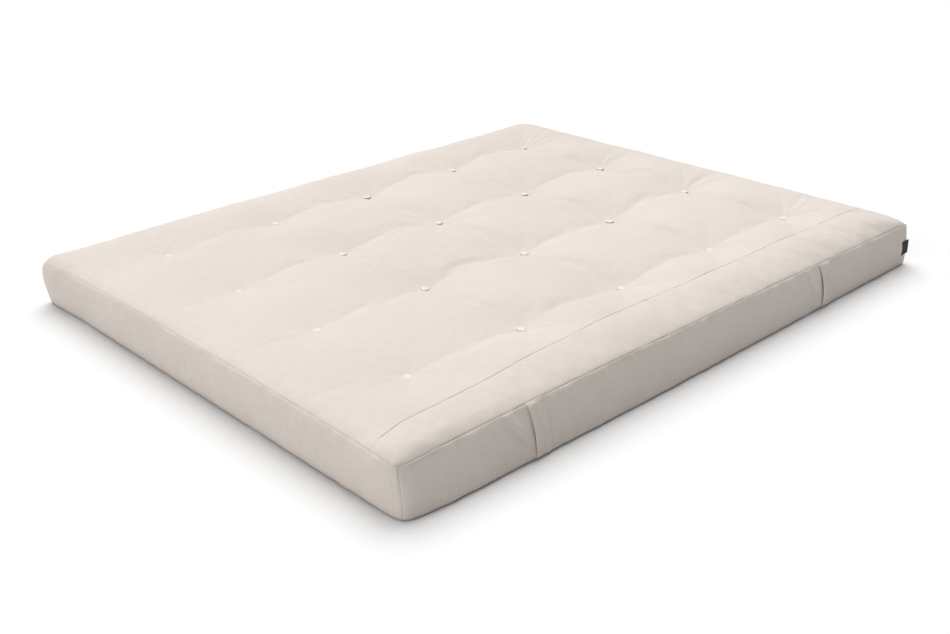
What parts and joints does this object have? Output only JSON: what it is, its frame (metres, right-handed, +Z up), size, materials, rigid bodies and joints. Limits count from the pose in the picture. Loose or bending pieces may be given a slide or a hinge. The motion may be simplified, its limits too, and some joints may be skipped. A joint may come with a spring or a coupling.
{
  "type": "futon mattress",
  "caption": "Tufted cotton futon mattress with bordered cover, foam core, cotton batting and carrying straps.",
  "frame": {"origin": "middle of the underside, on the floor", "axes": "+X along the long side, towards the end with the label; +Y across the width, away from the long side with the label; +Z up through the thickness"},
  "size_m": [2.016, 1.6216, 0.168],
  "materials": {
    "cover_cotton": "matte",
    "strap_cotton": "matte",
    "label_weave": "satin",
    "cotton_batting": "matte",
    "core_foam": "matte",
    "tuft_yarn": "matte",
    "tuft_twine": "matte"
  },
  "bodies": {
    "mattress": {"top_panel": "cover_cotton", "top_side_strip": "cover_cotton", "bottom_panel": "cover_cotton", "bottom_side_strip": "cover_cotton", "border_front": "cover_cotton", "border_rear": "cover_cotton", "border_left": "cover_cotton", "border_right": "cover_cotton", "strap_front_left": "strap_cotton", "strap_front_right": "strap_cotton", "strap_rear_left": "strap_cotton", "strap_rear_right": "strap_cotton", "lower_batting_1": "cotton_batting", "lower_batting_2": "cotton_batting", "lower_batting_3": "cotton_batting", "foam_core": "core_foam", "edge_wrap": "cotton_batting", "upper_batting_1": "cotton_batting", "upper_batting_2": "cotton_batting", "upper_batting_3": "cotton_batting", "top_tufts": "tuft_yarn", "bottom_tufts": "tuft_yarn", "tufting_twines": "tuft_twine"},
    "label": {"side_label": "label_weave"}
  },
  "joints": [
    {"name": "label_flap", "type": "hinge", "parent": "mattress", "child": "label", "pos_m": [0.999, -0.8092, 0.059], "axis": [0, 0, 1], "range_deg": [0, 170]}
  ]
}
